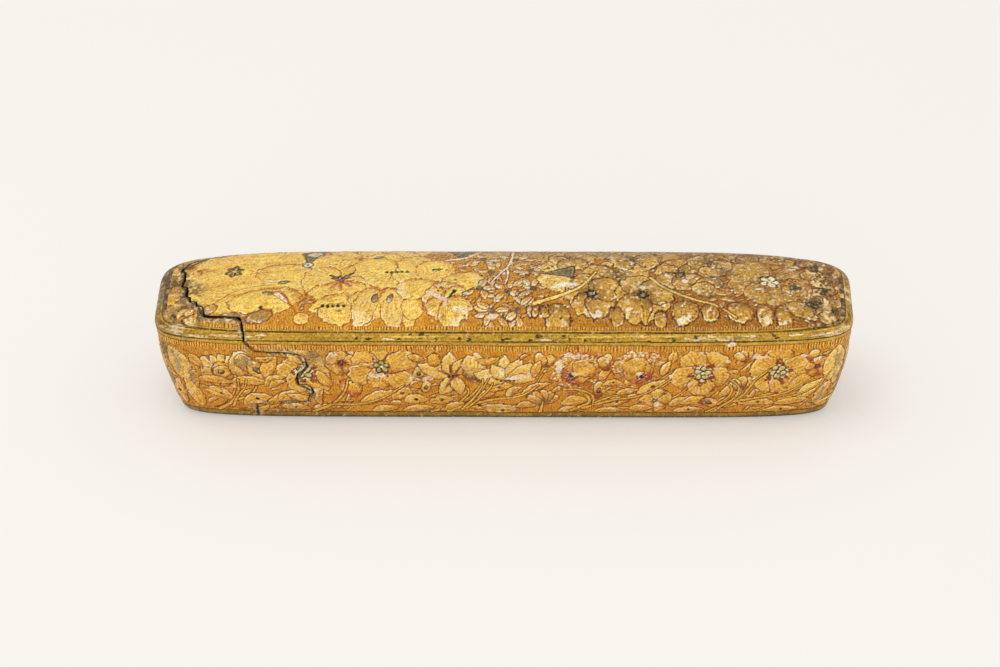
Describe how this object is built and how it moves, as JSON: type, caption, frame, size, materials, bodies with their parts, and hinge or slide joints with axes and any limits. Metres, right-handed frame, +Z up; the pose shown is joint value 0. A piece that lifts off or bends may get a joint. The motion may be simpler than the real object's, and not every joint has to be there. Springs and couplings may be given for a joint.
{
  "type": "pen box",
  "caption": "Long lacquered papier-mache pen box with rounded ends and a domed top; an inner drawer with inkwell and reed pens slides out of one end past a zigzag joint.",
  "frame": {"origin": "middle of the base, on the table", "axes": "+X along the box towards its closed end, -X is the way the drawer leaves, -Y is the front in the picture, +Z up"},
  "size_m": [0.235, 0.052, 0.048],
  "materials": {
    "painted_lacquer": "painted papier-mache under worn varnish",
    "red_lacquer": "thin papier-mache under dark red lacquer",
    "brass": "aged brass",
    "reed": "polished reed",
    "bone": "polished bone",
    "steel": "honed steel"
  },
  "bodies": {
    "case": {"case_shell": "painted_lacquer"},
    "drawer": {"drawer_head": "painted_lacquer", "drawer_tray": "red_lacquer", "tray_partition": "red_lacquer", "inkwell_body": "brass", "inkwell_hinge_pin": "brass", "reed_pen_broad": "reed", "reed_pen_middle": "reed", "reed_pen_fine": "reed", "penknife_handle": "bone", "penknife_ferrule": "brass", "penknife_blade": "steel", "nib_plate": "bone"},
    "inkwell_cover": {"inkwell_lid": "brass"}
  },
  "joints": [
    {"name": "drawer_slide", "type": "slide", "parent": "case", "child": "drawer", "axis": [-1, 0, 0], "range_m": [0, 0.228]},
    {"name": "inkwell_lid_hinge", "type": "hinge", "parent": "drawer", "child": "inkwell_cover", "pos_m": [-0.09671, 0, 0.0192], "axis": [0, -1, 0], "range_deg": [0, 100]}
  ]
}
